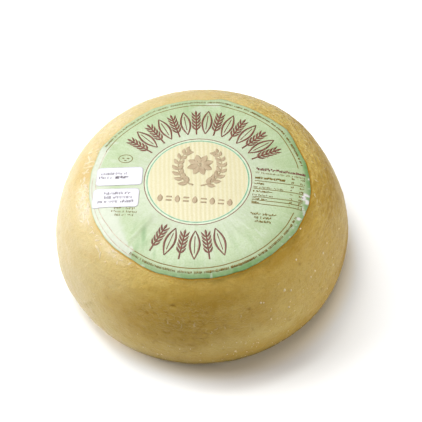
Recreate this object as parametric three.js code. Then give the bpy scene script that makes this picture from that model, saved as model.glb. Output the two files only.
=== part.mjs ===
// A whole wheel of young pecorino with a round paper label on its crown and two small stickers on the label.
// Millimetres, +Z up. The origin is the centre of the flat base. The label reads upright with -Y as its foot.
import * as THREE from 'three';

// The wheel, from the base up: flat base, rounded heel, long side arc, shoulder arc, low crown.
const wheelRadius = 100;
const bellyHeight = 28;
const baseRadius = 78;
const sideRadius = 97;
const sideSweep = 27.8;
const shoulderRadius = 32.4;
const crownSlope = 4.2;
const wheelSectors = 88;
const arcSteps = { heel: 7, side: 6, shoulder: 9, crown: 5 };

// The label lies on the crown, a little toward the front, and its rim bends down over the shoulder.
const labelRadius = 71.5;
const labelCentre = { x: 1.3, y: -5.7 };
const labelLift = 0.3;
const labelThickness = 0.4;
const labelSectors = 64;
const labelRings = { count: 10, crowding: 0.55 };

// Corners and flats of the paper's cut edge: where they are, how far they stand out and how wide they are.
const labelEdgeWaves = [
  { angle: 30, out: -1.2, width: 7 },
  { angle: 43, out: 1.5, width: 5 },
  { angle: 84, out: 1.4, width: 5 },
  { angle: 132, out: -1.0, width: 7 },
  { angle: 160, out: 0.5, width: 9 },
  { angle: 237, out: -0.7, width: 9 },
  { angle: 316, out: -0.5, width: 8 },
  { angle: 336, out: 0.5, width: 8 },
];

// Both stickers have the same cut. Each is placed by its centre and its turn about the vertical.
const stickerSize = { width: 30, height: 14.6 };
const stickerCorner = 1.9;
const stickerLift = 0.3;
const stickerThickness = 0.3;
const stickerRings = { count: 5, crowding: 1 };
const stickerPlaces = {
  sticker_upper: { x: -50.9, y: -6.0, turn: 4.3 },
  sticker_lower: { x: -50.5, y: -23.2, turn: 3.9 },
};

const rindColour = 0xe2cc86;
const paperColour = 0xc9e2bb;
const stickerColour = 0xf3f1fa;

const radians = THREE.MathUtils.degToRad;

// Centres and ends of the profile's arcs, each worked out from the one before it.
const sideCentre = { r: wheelRadius - sideRadius, z: bellyHeight };
const sideEnd = pointOnArc(sideCentre, sideRadius, sideSweep);
const shoulderCentre = {
  r: sideEnd.r - shoulderRadius * Math.cos(radians(sideSweep)),
  z: sideEnd.z - shoulderRadius * Math.sin(radians(sideSweep)),
};
const shoulderEnd = pointOnArc(shoulderCentre, shoulderRadius, 90 - crownSlope);
const crownRadius = shoulderEnd.r / Math.sin(radians(crownSlope));
const crownCentre = { r: 0, z: shoulderEnd.z - crownRadius * Math.cos(radians(crownSlope)) };

function pointOnArc(centre, radius, degrees) {
  return {
    r: centre.r + radius * Math.cos(radians(degrees)),
    z: centre.z + radius * Math.sin(radians(degrees)),
  };
}

// Points along an arc in the profile plane, without its first point.
function arcPoints(centre, radiusAcross, radiusUp, fromDegrees, toDegrees, steps) {
  const points = [];
  for (let i = 1; i <= steps; i += 1) {
    const angle = radians(THREE.MathUtils.lerp(fromDegrees, toDegrees, i / steps));
    const r = centre.r + radiusAcross * Math.cos(angle);
    const z = centre.z + radiusUp * Math.sin(angle);
    points.push(new THREE.Vector2(Math.max(r, 0), z));
  }
  return points;
}

function wheelGeometry() {
  const heelCentre = { r: baseRadius, z: bellyHeight };
  const heelWidth = wheelRadius - baseRadius;
  const profile = [new THREE.Vector2(0, 0), new THREE.Vector2(baseRadius, 0)];
  profile.push(...arcPoints(heelCentre, heelWidth, bellyHeight, -90, 0, arcSteps.heel));
  profile.push(...arcPoints(sideCentre, sideRadius, sideRadius, 0, sideSweep, arcSteps.side));
  const crownStart = 90 - crownSlope;
  profile.push(
    ...arcPoints(shoulderCentre, shoulderRadius, shoulderRadius, sideSweep, crownStart, arcSteps.shoulder),
    ...arcPoints(crownCentre, crownRadius, crownRadius, crownStart, 90, arcSteps.crown),
  );
  profile[profile.length - 1].x = 0;
  const geometry = new THREE.LatheGeometry(profile, wheelSectors);
  geometry.rotateX(Math.PI / 2);
  return geometry;
}

// A point that stands off the wheel's top by the given lift, square to the surface at (x, y).
function pointOverCrown(x, y, lift) {
  const r = Math.hypot(x, y);
  const onCrown = r <= shoulderEnd.r;
  const centre = onCrown ? crownCentre : shoulderCentre;
  const radius = onCrown ? crownRadius : shoulderRadius;
  const height = centre.z + Math.sqrt(radius ** 2 - (r - centre.r) ** 2);
  const lean = (r - centre.r) / radius;
  const outX = r > 0 ? x / r : 0;
  const outY = r > 0 ? y / r : 0;
  const rise = Math.sqrt(1 - lean ** 2);
  return new THREE.Vector3(x + outX * lean * lift, y + outY * lean * lift, height + rise * lift);
}

// A thin closed sheet that follows the wheel's top. The outline gives the edge, from the sheet's own centre,
// and rings of the same shape fill it. Crowding below 1 brings the rings closer together toward the rim.
function sheetGeometry(centre, outline, sheetRings, lift, thickness) {
  const sectors = outline.length;
  const rings = sheetRings.count;
  const positions = [];
  const indices = [];
  for (const level of [lift, lift + thickness]) {
    positions.push(...pointOverCrown(centre.x, centre.y, level));
    for (let ring = 1; ring <= rings; ring += 1) {
      const reach = (ring / rings) ** sheetRings.crowding;
      for (const edge of outline) {
        positions.push(...pointOverCrown(centre.x + edge.x * reach, centre.y + edge.y * reach, level));
      }
    }
  }
  const levelSize = 1 + rings * sectors;
  const vertex = (level, ring, sector) => level * levelSize + 1 + (ring - 1) * sectors + (sector % sectors);
  const rim = (level, sector) => vertex(level, rings, sector);
  for (let s = 0; s < sectors; s += 1) {
    const next = s + 1;
    indices.push(0, vertex(0, 1, next), vertex(0, 1, s));
    indices.push(levelSize, vertex(1, 1, s), vertex(1, 1, next));
    for (let ring = 1; ring < rings; ring += 1) {
      const out = ring + 1;
      pushQuad(indices, vertex(0, ring, s), vertex(0, ring, next), vertex(0, out, next), vertex(0, out, s));
      pushQuad(indices, vertex(1, ring, s), vertex(1, out, s), vertex(1, out, next), vertex(1, ring, next));
    }
    pushQuad(indices, rim(0, s), rim(0, next), rim(1, next), rim(1, s));
  }
  const geometry = new THREE.BufferGeometry();
  geometry.setAttribute('position', new THREE.Float32BufferAttribute(positions, 3));
  geometry.setIndex(indices);
  geometry.computeVertexNormals();
  return geometry;
}

function pushQuad(indices, a, b, c, d) {
  indices.push(a, b, c);
  indices.push(a, c, d);
}

function labelOutline(sectors) {
  const outline = [];
  for (let s = 0; s < sectors; s += 1) {
    const degrees = (s * 360) / sectors;
    let radius = labelRadius;
    for (const wave of labelEdgeWaves) {
      const away = (degrees - wave.angle) / wave.width;
      radius += wave.out * Math.exp(-(away ** 2));
    }
    outline.push(new THREE.Vector2(radius, 0).rotateAround(new THREE.Vector2(), radians(degrees)));
  }
  return outline;
}

// A rectangle with rounded corners, anticlockwise, with points along its sides so that it can bend.
function stickerOutline(turn) {
  const cornerSteps = 3;
  const longSideSteps = 6;
  const shortSideSteps = 3;
  const halfWidth = stickerSize.width / 2 - stickerCorner;
  const halfHeight = stickerSize.height / 2 - stickerCorner;
  const corners = [[1, 1], [-1, 1], [-1, -1], [1, -1]].map(([signX, signY], quarter) => {
    const points = [];
    for (let i = 0; i <= cornerSteps; i += 1) {
      const angle = radians(90 * (quarter + i / cornerSteps));
      const x = signX * halfWidth + stickerCorner * Math.cos(angle);
      const y = signY * halfHeight + stickerCorner * Math.sin(angle);
      points.push(new THREE.Vector2(x, y));
    }
    return points;
  });
  const outline = [];
  corners.forEach((corner, quarter) => {
    const sideStart = corner[cornerSteps];
    const sideFinish = corners[(quarter + 1) % corners.length][0];
    const sideSteps = quarter % 2 === 0 ? longSideSteps : shortSideSteps;
    outline.push(...corner);
    for (let i = 1; i < sideSteps; i += 1) {
      outline.push(sideStart.clone().lerp(sideFinish, i / sideSteps));
    }
  });
  return outline.map((point) => point.rotateAround(new THREE.Vector2(), radians(turn)));
}

function makePart(name, geometry, colour, roughness) {
  const material = new THREE.MeshStandardMaterial({ color: colour, roughness, metalness: 0 });
  const mesh = new THREE.Mesh(geometry, material);
  mesh.name = name;
  return mesh;
}

const pecorino = new THREE.Group();
pecorino.add(makePart('cheese_wheel', wheelGeometry(), rindColour, 0.45));

const labelEdge = labelOutline(labelSectors);
const labelSheet = sheetGeometry(labelCentre, labelEdge, labelRings, labelLift, labelThickness);
pecorino.add(makePart('paper_label', labelSheet, paperColour, 0.6));

const stickerBase = labelLift + labelThickness + stickerLift;
for (const [name, place] of Object.entries(stickerPlaces)) {
  const edge = stickerOutline(place.turn);
  const sticker = sheetGeometry(place, edge, stickerRings, stickerBase, stickerThickness);
  pecorino.add(makePart(name, sticker, stickerColour, 0.5));
}

export default pecorino;
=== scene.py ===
import math
import bpy
import numpy as np
from mathutils import Matrix, Vector
from mathutils.bvhtree import BVHTree


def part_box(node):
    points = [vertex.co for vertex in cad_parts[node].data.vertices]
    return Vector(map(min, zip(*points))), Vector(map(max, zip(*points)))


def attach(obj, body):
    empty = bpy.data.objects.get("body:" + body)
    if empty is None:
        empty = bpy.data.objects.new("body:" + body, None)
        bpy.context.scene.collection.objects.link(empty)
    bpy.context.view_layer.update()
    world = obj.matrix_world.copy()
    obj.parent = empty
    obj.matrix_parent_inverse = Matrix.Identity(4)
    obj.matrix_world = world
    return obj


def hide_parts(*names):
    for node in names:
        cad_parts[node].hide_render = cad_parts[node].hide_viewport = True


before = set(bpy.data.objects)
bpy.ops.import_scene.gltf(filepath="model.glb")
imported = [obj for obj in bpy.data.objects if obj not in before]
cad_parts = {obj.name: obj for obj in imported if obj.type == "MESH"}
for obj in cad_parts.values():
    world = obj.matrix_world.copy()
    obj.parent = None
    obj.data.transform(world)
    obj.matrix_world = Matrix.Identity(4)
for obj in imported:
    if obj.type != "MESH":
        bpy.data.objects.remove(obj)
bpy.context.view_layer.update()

# lengths below are in millimetres, and mm turns them into Blender's metres
mm = 0.001
wheelLow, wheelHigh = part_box("cheese_wheel")


def softNoise(points, size, seed):
    # smooth bumps between -1 and 1, each about size across
    grid = np.asarray(points, float) / size + seed * 17.37
    cell = np.floor(grid).astype(np.int64)
    part = grid - cell
    ease = part ** 3 * (part * (part * 6 - 15) + 10)
    total = np.zeros(len(grid))
    for corner in np.ndindex(2, 2, 2):
        mixed = ((cell + corner) * np.array([73856093, 19349663, 83492791])).sum(axis=1) + seed * 40503
        mixed = (mixed ^ (mixed >> 13)) * 1274126177
        value = ((mixed ^ (mixed >> 16)) & 0xFFFF) / 32767.5 - 1
        total += value * np.prod(np.where(corner, ease, 1 - ease), axis=1)
    return total


def smoothStep(low, high, value):
    t = np.clip((value - low) / (high - low), 0, 1)
    return t * t * (3 - 2 * t)


def hump(value, width, power=2):
    # 1 at zero, falling away on both sides
    return np.exp(-(value / width) ** power)


def turnDistance(degrees, other):
    # how far apart two bearings are, from 0 to 180
    return np.abs((np.asarray(degrees) - other + 180) % 360 - 180)


def nearing(degrees, bearing, far, near):
    # 0 further than far from a bearing, growing to 1 within near of it
    return smoothStep(far, near, turnDistance(degrees, bearing))


def ahead(degrees):
    # the way a bearing points, as x and y
    return math.cos(math.radians(degrees)), math.sin(math.radians(degrees))


def gridQuads(start, rows, columns, wrap=False, flip=False):
    # the faces between neighbouring rows of points that are listed one row after another
    quads = []
    for k in range(rows - 1):
        a = start + k * columns
        b = a + columns
        for s in range(columns if wrap else columns - 1):
            n = (s + 1) % columns
            quads.append((a + s, a + n, b + n, b + s) if flip else (a + s, b + s, b + n, a + n))
    return quads


def fan(tip, start, count, flip=False):
    # triangles from one point to a ring of points
    ring = [(start + k, start + (k + 1) % count) for k in range(count)]
    return [(tip, b, a) if flip else (tip, a, b) for a, b in ring]


def addToScene(name, data):
    thing = bpy.data.objects.new(name, data)
    bpy.context.scene.collection.objects.link(thing)
    return thing


def makeMesh(name, points, faces):
    mesh = bpy.data.meshes.new(name)
    mesh.from_pydata((np.asarray(points) * mm).tolist(), [], faces)
    mesh.validate()
    mesh.update()
    mesh.polygons.foreach_set("use_smooth", [True] * len(mesh.polygons))
    return addToScene(name, mesh)


def addPointValues(piece, name, values):
    attribute = piece.data.attributes.new(name, "FLOAT", "POINT")
    attribute.data.foreach_set("value", np.asarray(values, np.float32))


# the bare wheel: its outline is the CAD's, and the dents are its slow unevenness
wheel = {
    "radius": (wheelHigh.x - wheelLow.x) / 2 / mm,
    "bellyHeight": 28,
    "baseRadius": 78,
    "sideRadius": 97,
    "sideSweep": 27.8,        # degrees of side arc above the belly
    "shoulderRadius": 32.4,
    "crownSlope": 4.2,        # degrees of fall where crown and shoulder meet
    "sectors": 640,
    "rowStep": 0.94,
    "swell": 0.34,            # slow unevenness of the whole skin
    # where the wheel is flatter or fuller: bearing, height, reach along and up, how far out
    "dents": [
        (-138, 30, 13, 26, -0.75), (-152, 24, 12, 24, 0.7), (-163, 45, 18, 30, 0.5), (-88, 16, 24, 20, 0.6),
        (46, 42, 14, 34, 1.2), (158, 80, 14, 16, -0.45), (58, 78, 20, 18, 0.5), (28, 70, 12, 20, -0.4),
        (8, 50, 12, 26, 0.4), (-14, 40, 12, 26, -0.35),
    ],
}


def buildArcs():
    # the side, shoulder and crown arcs, each from the end of the one before it
    sweep = math.radians(wheel["sideSweep"])
    slope = math.radians(wheel["crownSlope"])
    sideR = wheel["radius"] - wheel["sideRadius"]
    gap = wheel["sideRadius"] - wheel["shoulderRadius"]
    shoulderR = sideR + gap * math.cos(sweep)
    shoulderZ = wheel["bellyHeight"] + gap * math.sin(sweep)
    edgeR = shoulderR + wheel["shoulderRadius"] * math.sin(slope)
    edgeZ = shoulderZ + wheel["shoulderRadius"] * math.cos(slope)
    crownRadius = edgeR / math.sin(slope)
    return {
        "sideR": sideR, "sweep": sweep, "slope": slope,
        "shoulderR": shoulderR, "shoulderZ": shoulderZ, "edgeR": edgeR,
        "crownRadius": crownRadius, "crownZ": edgeZ - crownRadius * math.cos(slope),
    }


arcs = buildArcs()


def tracedProfile():
    # radius, height and outward direction of the skin, from the crown's middle round to the base's middle
    step = 0.25
    right = math.pi / 2
    slope, sweep = arcs["slope"], arcs["sweep"]
    crown, shoulder, side = arcs["crownRadius"], wheel["shoulderRadius"], wheel["sideRadius"]
    base, belly = wheel["baseRadius"], wheel["bellyHeight"]
    bends = [                 # centre, half width, half height, start and stop
        (0, arcs["crownZ"], crown, crown, right, right - slope),
        (arcs["shoulderR"], arcs["shoulderZ"], shoulder, shoulder, right - slope, sweep),
        (arcs["sideR"], belly, side, side, sweep, 0),
        (base, belly, wheel["radius"] - base, belly, 0, -right),
    ]
    parts = []
    for centreR, centreZ, across, up, start, stop in bends:
        count = int(abs(start - stop) * max(across, up) / step) + 2
        t = np.linspace(start, stop, count)
        out = np.stack([np.cos(t) / across, np.sin(t) / up], 1)
        out /= np.linalg.norm(out, axis=1)[:, None]
        parts.append(np.column_stack([centreR + across * np.cos(t), centreZ + up * np.sin(t), out]))
    foot = np.linspace(base, 0, 40)[1:]
    parts.append(np.column_stack([foot, 0 * foot, 0 * foot, 0 * foot - 1]))
    rows = np.vstack(parts)
    length = np.hypot(np.diff(rows[:, 0]), np.diff(rows[:, 1]))
    rows = rows[np.r_[True, length > 1e-6]]
    along = np.r_[0, np.cumsum(np.hypot(np.diff(rows[:, 0]), np.diff(rows[:, 1])))]
    return along, rows, along[-len(foot)]


profileAlong, profileRows, footAlong = tracedProfile()


def profileAt(along):
    return [np.interp(along, profileAlong, profileRows[:, i]) for i in range(4)]


def swellAt(points):
    # slow unevenness of the wheel, shared by the rind, the paper and everything printed on it
    degrees = np.degrees(np.arctan2(points[:, 1], points[:, 0]))
    radius = np.hypot(points[:, 0], points[:, 1])
    out = wheel["swell"] * (softNoise(points, 52, 3) + 0.45 * softNoise(points, 24, 4))
    for bearing, height, reach, rise, depth in wheel["dents"]:
        away = turnDistance(degrees, bearing) / reach
        up = (points[:, 2] - height) / rise
        out += depth * np.exp(-away ** 2 - up ** 2) * smoothStep(30, 60, radius)
    return out * smoothStep(0.0, 10.0, points[:, 2])


def topAt(x, y):
    # the even skin of crown and shoulder above (x, y), and which way it faces
    r = np.hypot(x, y)
    onCrown = r <= arcs["edgeR"]
    centreR = np.where(onCrown, 0, arcs["shoulderR"])
    centreZ = np.where(onCrown, arcs["crownZ"], arcs["shoulderZ"])
    radius = np.where(onCrown, arcs["crownRadius"], wheel["shoulderRadius"])
    z = centreZ + np.sqrt(np.maximum(radius ** 2 - (r - centreR) ** 2, 0))
    lean = np.clip((r - centreR) / radius, -1, 1)
    safe = np.maximum(r, 1e-9)
    facing = np.column_stack([x / safe * lean, y / safe * lean, np.sqrt(1 - lean ** 2)])
    return np.column_stack([x, y, z]), facing


printing = {
    "centre": (0.62, -6.1),
    "fineStep": 0.6,          # longest stretch of ink between two points
    "inkThickness": 0.03,
    "gap": (-16.4, 14.5),     # where the outer circle stops, beside the ruled block
    "sway": 0.35,             # how far the outer circles lean after the cut edge
    # ears and spindles: from and to radius, then first and last bearing and how many
    "frieze": (39, 61),
    "upperFrieze": (148, 32, 15),
    "lowerFrieze": (-113, -67, 6),
    # rings of ticks: radius, first and last bearing
    "tickRings": [(68.8, 17, 159), (68.4, 238, 342)],
    "tickRingHeight": 1.6,
    # rows of ticks at the lower left and lower right: foot, from, to
    "leftRows": [(-26.3, -51.2, -38), (-28.9, -52.6, -35.6), (-31.5, -50, -37.6)],
    "rightRows": [(-23.8, 36.6, 52.8), (-26.6, 39.2, 50.4), (-29.4, 39.8, 49.8)],
    # how heavy the rings of ticks are, bearing by bearing
    "ringWear": [
        (17, 1.15), (60, 0.95), (90, 0.85), (110, 0.72), (158, 0.8), (238, 0.65), (262, 0.82), (280, 0.9),
        (298, 1.3), (314, 1), (342, 1),
    ],
    # where each outer circle is faint on the left, partly worn and partly painted sheen
    "fadedAndSheen": {"outerLine": (162, 239), "secondLine": (181, 239)},
    # circles printed on the sheet from the middle out: outer radius, colour, ring step
    "rings": [
        (32.45, "cream", 1.1), (32.75, "pale", 0.5), (33.5, "teal", 0.8), (34.68, "pale", 0.6),
        (35.3, "brown", 0.6), (65.7, "green", 0.75), (66.3, "outerLine", 0.6), (69.1, "green", 0.75),
        (69.6, "secondLine", 0.5),
    ],
}

sheetMarks = {
    # rubbed white, and painted glare and glints at the lower left and along the top: place in from the
    # print's middle, half width, half height, strength
    "rubbedAndSheen": [
        (70.9, -3.2, 2.7, 1.3, 1), (69.3, -5.6, 1.5, 2, 1), (71.6, -8.2, 1.9, 2, 1),
        (69.4, -13.6, 0.9, 1.6, 0.7), (70.3, -16.6, 1, 2.2, 0.7), (67.6, -22, 1.8, 1.5, 0.95),
        (66.2, -26.4, 0.6, 0.9, 0.6), (64.4, -29.2, 0.6, 0.6, 0.5), (71.5, 10, 0.8, 0.9, 0.9),
        (71.9, 2.6, 0.6, 0.8, 0.5), (62.8, -35.6, 0.8, 0.8, 0.5), (58.4, -41.5, 0.7, 0.7, 0.4),
        (-36.2, -55.8, 1.5, 3, 0.5), (-39.4, -53.2, 1.1, 3.6, 0.4), (-44, -50.5, 2.2, 3.2, 0.3),
        (-62, 28.5, 5, 1.6, 0.25), (3, 66.5, 7, 1.6, 0.3), (-6, 60.5, 5, 6, 0.18),
        (16.6, -69.2, 0.7, 1.8, 0.5), (-27.7, -65.4, 2.2, 1, 0.35),
    ],
    # the milky patch of painted sheen ends along the line between these two places
    "milkySide": ((-35.5, -60), (-46, -33)),
    # painted shade on the rim, bearing by bearing, darkest at the front and right, partly damp paper
    "wetAndShadedRim": [
        (-122.5, 0), (-121.5, 0.3), (-105, 0.45), (-90, 0.7), (-75, 0.82), (-58, 0.95), (-45, 0.6),
        (-30, 0.56), (-12, 0.7), (2, 0.74), (16, 0.93), (30, 0.58), (45, 0.17), (60, 0.14), (76, 0),
    ],
    # darker patches, painted shade beside the creases and partly damp paper: place, half width, half height,
    # turn in degrees, strength
    "wetAndShaded": [
        (-29, -46.5, 1.7, 8.5, 5, 0.62), (-26.4, -51.5, 1.2, 6, 12, 0.3), (-35.8, -40.5, 1, 5.5, -8, 0.2),
        (-20.5, -58.5, 1.2, 4.5, 8, 0.3), (38.5, -42.5, 1, 6, 30, 0.16), (29.5, -47, 1, 6.5, 24, 0.16),
        (8, -62, 6, 2.5, 0, 0.16), (54, 41, 7, 3.5, -48, 0.25), (47, 34, 3, 9, -52, 0.2),
        (-14.5, 62, 1.6, 4.5, 12, 0.25), (9, 66.2, 3.6, 1.5, 0, 0.3), (60, 22, 5, 7, 0, 0.12),
        (-32.5, -54.5, 2.2, 7.5, -12, 0.4), (52, -29, 15, 6, -24, 0.14), (46, -12, 8, 12, 0, 0.08),
    ],
}

paper = {
    "centre": (1.3, -5.8),
    "radius": 71.85,
    "thickness": 0.08,
    "lift": 0.05,
    "sectors": 600,
    "marginRings": 4,
    "ribStep": 2.9,
    # corners and flats of the cut edge: bearing, how far out, how wide in degrees
    "edgeWaves": [
        (-4, 0.9, 8), (27, -1, 9), (43, 1.5, 5), (62, -1.1, 12), (84, 1.3, 4), (95, -0.9, 7),
        (110, -0.6, 7), (122, 0.5, 4), (133, -0.5, 7), (145, -0.5, 5), (161, 1.2, 6),
        (180, 0.2, 8), (212, 0.4, 16), (239, -0.8, 6), (275, 0.2, 20), (318, -0.25, 5), (337, 0.6, 9),
    ],
    # creases in the sheet: bearing, from and to radius, half width, height, lean in degrees
    "creases": [
        (-128.5, 37, 66, 2.3, 0.75, 3), (-118, 36, 64, 1.7, 0.26, -3), (-109, 37, 58, 1.3, 0.2, 2),
        (-97, 36, 60, 1.4, 0.18, 2), (-84, 38, 62, 1.5, 0.14, -2), (-60, 36, 62, 1.8, 0.22, -4),
        (-52, 37, 60, 1.4, 0.18, 2), (-43, 37, 56, 1.4, 0.14, 4), (-141, 38, 60, 2, 0.2, 3),
        (-150, 42, 66, 1.8, 0.16, -2), (120, 38, 62, 1.6, 0.12, 2), (93, 40, 64, 1.5, 0.14, -2),
        (63, 42, 66, 1.6, 0.14, 3), (161, 60, 73, 1.3, 0.32, 6), (44, 60, 74, 1.4, 0.22, -4),
        (84, 60, 74, 1.8, 0.28, 3), (101, 60, 73, 1.6, 0.18, -4), (121, 58, 73, 1.5, 0.16, 4),
        (10, 60, 74, 1.4, 0.18, 2), (-14, 62, 74, 1.4, 0.18, 2),
    ],
}


def paperEdge(degrees):
    edge = np.full(np.shape(degrees), float(paper["radius"]))
    for bearing, out, width in paper["edgeWaves"]:
        edge = edge + out * hump(turnDistance(degrees, bearing), width)
    return edge + 0.12 * np.sin(np.radians(degrees) * 23) + 0.08 * np.sin(np.radians(degrees) * 41 + 1)


def edgeSeenFrom(middle, degrees):
    # distance from a middle point to the paper's cut edge, for each bearing about that point
    around = np.arange(0, 360, 0.25)
    edge = paperEdge(around)
    x = paper["centre"][0] + edge * np.cos(np.radians(around)) - middle[0]
    y = paper["centre"][1] + edge * np.sin(np.radians(around)) - middle[1]
    bearing = np.degrees(np.arctan2(y, x)) % 360
    order = np.argsort(bearing)
    return np.interp(degrees % 360, bearing[order], np.hypot(x, y)[order], period=360)


def sheetPolar(x, y):
    # distance and bearing from the print's middle, and a place on a drum for rays that run outward
    u = x - printing["centre"][0]
    v = y - printing["centre"][1]
    r = np.hypot(u, v)
    bearing = np.arctan2(v, u)
    rays = np.column_stack([np.cos(bearing) * 30, np.sin(bearing) * 30, r * 0.07])
    return u, v, r, np.degrees(bearing), rays


def paperWrinkle(x, y):
    # height of the paper's wrinkles over the skin, never below it
    u, v, r, degrees, rays = sheetPolar(x, y)
    lower = 0.5 + 0.5 * smoothStep(20, 75, turnDistance(degrees, 90))
    right = nearing(degrees, 0, 50, 20)
    height = 0.05 * (softNoise(rays, 2.4, 7) + 1) * smoothStep(28, 42, r) * lower * (1 - 0.6 * right)
    height += 0.03 * (softNoise(rays, 1.2, 8) + 1) * smoothStep(32, 44, r) * lower * (1 - 0.5 * right)
    flat = np.column_stack([x, y, 0 * x])
    height += 0.035 * (softNoise(flat, 9, 9) + 1) + 0.02 * (softNoise(flat, 2.4, 12) + 1)
    # the middle took up fine even ribs, leaning a little
    rib = np.sin((u + 0.14 * v) * 2 * math.pi / paper["ribStep"] + 1.2 * softNoise(flat, 14, 10))
    height += 0.022 * (rib + 1) * smoothStep(38, 30, r)
    for at, low, high, width, rise, lean in paper["creases"]:
        t = np.clip((r - low) / (high - low), 0, 1)
        across = ((degrees - at - lean * (t - 0.5) + 180) % 360 - 180) * math.pi / 180 * r
        ends = smoothStep(0, 0.3, t) * (1 if high > 68 else smoothStep(1, 0.75, t))
        height += rise * hump(across, width) * ends
    # the cut edge lies flat on the rind
    inFromEdge = edgeSeenFrom(printing["centre"], degrees) - r
    return height * (0.15 + 0.85 * smoothStep(0, 4.5, inFromEdge))


def paperPoint(x, y, lift, wrinkled=True):
    points, facing = topAt(x, y)
    stand = swellAt(points) + paper["lift"] + lift
    if wrinkled:
        stand = stand + paperWrinkle(points[:, 0], points[:, 1])
    return points + facing * stand[:, None]


def ringSway(degrees):
    # the sheet was pressed down by hand, so its outer circles lean after the cut edge
    follow = printing["sway"] * (edgeSeenFrom(printing["centre"], degrees) - paper["radius"])
    return follow + nearing(degrees, 178, 42, 24)


def rubbedWhiteAndSheen(u, v, r, degrees, rays, ragged, fromEdge):
    # rubbed scuffs, and painted sheen: the pale left margin, the milky patch at the lower left and pale rays
    white = np.zeros(len(r))
    for cu, cv, wide, tall, much in sheetMarks["rubbedAndSheen"]:
        away = np.hypot((u - cu) / wide, (v - cv) / tall) - 0.35 * ragged
        white = np.maximum(white, much * smoothStep(1.1, 0.7, away))
    # painted sheen along the left margin
    margin = nearing(degrees, 198, 42, 37) * smoothStep(65.2, 67.0, r)
    white = np.maximum(white, margin * (0.46 + 0.12 * ragged) * smoothStep(0.1, 0.8, fromEdge))
    # the milky patch of painted sheen stops at the deep crease, softly near the middle and sharply at the rim
    (startU, startV), (stopU, stopV) = sheetMarks["milkySide"]
    long = math.hypot(stopU - startU, stopV - startV)
    inside = ((u - startU) * (startV - stopV) + (v - startV) * (stopU - startU)) / long
    inside = inside + 1.2 * softNoise(rays, 1.6, 36) * smoothStep(68, 60, r)
    soft = 1 + 3.5 * smoothStep(66, 56, r)
    milky = smoothStep(-soft, soft, inside) * smoothStep(44, 60, r)
    milky = milky * nearing(degrees, 218, 50, 22)
    white = np.maximum(white, milky * (0.42 + 0.06 * ragged) * smoothStep(0, 0.6, fromEdge))
    # pale rays, partly painted sheen
    streak = softNoise(rays, 1.7, 33) + 0.5 * softNoise(rays, 0.9, 34) + 0.5 * ragged
    lower = smoothStep(40, 100, turnDistance(degrees, 90))
    streaky = (0.08 + 0.14 * lower) * smoothStep(0.1, 1.3, streak)
    streaky = streaky * smoothStep(34, 38, r) * smoothStep(66, 58, r)
    haze = 0.22 * smoothStep(60, 38, r) * smoothStep(34.5, 35, r) * (1 + 0.4 * ragged)
    return np.maximum(np.maximum(white, streaky), haze)


def sheetTint(x, y):
    # where the sheet is rubbed white or painted with sheen, and where it is darker: partly damper, partly
    # painted shade
    u, v, r, degrees, rays = sheetPolar(x, y)
    fromEdge = edgeSeenFrom(printing["centre"], degrees) - r
    flat = np.column_stack([u, v, 0 * u])
    ragged = softNoise(flat, 2.0, 31) + 0.5 * softNoise(flat, 0.9, 32)
    white = rubbedWhiteAndSheen(u, v, r, degrees, rays, ragged, fromEdge)
    dark = np.zeros(len(r))
    for cu, cv, wide, tall, turn, much in sheetMarks["wetAndShaded"]:
        c, w = ahead(turn)
        away = np.hypot(((u - cu) * c + (v - cv) * w) / wide, ((v - cv) * c - (u - cu) * w) / tall)
        dark = np.maximum(dark, much * np.exp(-away ** 2) * (1 + 0.3 * softNoise(rays, 1.3, 35)))
    bearings, wetness = np.array(sheetMarks["wetAndShadedRim"]).T
    # painted shade on the rim at the front and right
    rim = np.interp((degrees + 180) % 360 - 180, bearings, wetness) * smoothStep(4.2, 1.2, fromEdge)
    dark = np.maximum(dark, rim * (1 + 0.3 * ragged) * (1 - white))
    return np.clip(white, 0, 1), np.clip(dark, 0, 1)


def lineColour(colour, bearing):
    # the outer circles break beside the ruled block and fade on the left, partly worn and partly painted
    # sheen
    if colour not in printing["fadedAndSheen"]:
        return colour
    fadedFrom, fadedTo = printing["fadedAndSheen"][colour]
    if fadedFrom < bearing < fadedTo:
        return "fadedAndSheen"
    gapStart, gapStop = printing["gap"]
    if colour == "secondLine" or gapStart < (bearing + 180) % 360 - 180 < gapStop:
        return "green"
    return "olive"


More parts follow.
